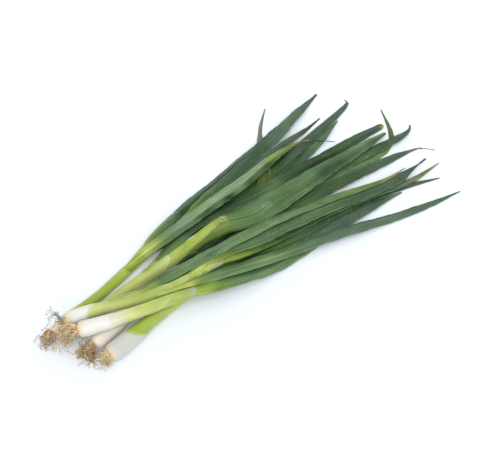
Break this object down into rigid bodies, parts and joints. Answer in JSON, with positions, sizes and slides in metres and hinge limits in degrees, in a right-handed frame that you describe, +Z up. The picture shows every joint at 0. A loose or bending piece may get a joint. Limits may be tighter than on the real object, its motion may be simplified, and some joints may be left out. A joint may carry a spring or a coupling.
{
  "type": "spring onion bunch",
  "caption": "Loose bunch of fresh spring onions lying down, with root tufts, white bulbs, pale green shanks and long tapering leaves that overlap and fan out.",
  "frame": {"origin": "under the middle of the bunch, on the surface that it lies on", "axes": "+Z up, +X along the bunch from the roots to the leaf tips, +Y to the left of that"},
  "size_m": [0.4248, 0.197, 0.0339],
  "materials": {
    "root_fibre": "dry matt fibre, tan to brown",
    "stem_skin": "moist satin skin, white at the bulb to light yellow-green",
    "green_leaf": "satin, medium green with a thin waxy bloom",
    "dark_leaf": "satin, dark green",
    "pale_leaf": "matt, pale bluish green with a thick waxy bloom",
    "young_leaf": "satin, bright yellow-green",
    "olive_leaf": "satin, olive, yellowing"
  },
  "bodies": {
    "root": {"far_onion_stem": "stem_skin", "far_onion_roots": "root_fibre", "far_onion_leaf_1": "dark_leaf", "far_onion_leaf_2": "green_leaf", "far_onion_leaf_3": "pale_leaf", "far_onion_leaf_4": "dark_leaf", "far_onion_leaf_5": "dark_leaf", "thick_onion_stem": "stem_skin", "thick_onion_roots": "root_fibre", "thick_onion_leaf_1": "dark_leaf", "thick_onion_leaf_2": "dark_leaf", "thick_onion_leaf_3": "green_leaf", "thick_onion_leaf_4": "olive_leaf", "thick_onion_leaf_5": "dark_leaf", "top_onion_stem": "stem_skin", "top_onion_roots": "root_fibre", "top_onion_leaf_1": "green_leaf", "top_onion_leaf_2": "dark_leaf", "top_onion_leaf_3": "young_leaf", "top_onion_leaf_4": "green_leaf", "white_onion_stem": "stem_skin", "white_onion_roots": "root_fibre", "white_onion_leaf_1": "green_leaf", "hidden_onion_stem": "stem_skin", "hidden_onion_roots": "root_fibre", "hidden_onion_leaf_1": "green_leaf", "hidden_onion_leaf_2": "green_leaf", "near_onion_stem": "stem_skin", "near_onion_roots": "root_fibre", "near_onion_leaf_1": "dark_leaf"}
  },
  "joints": []
}
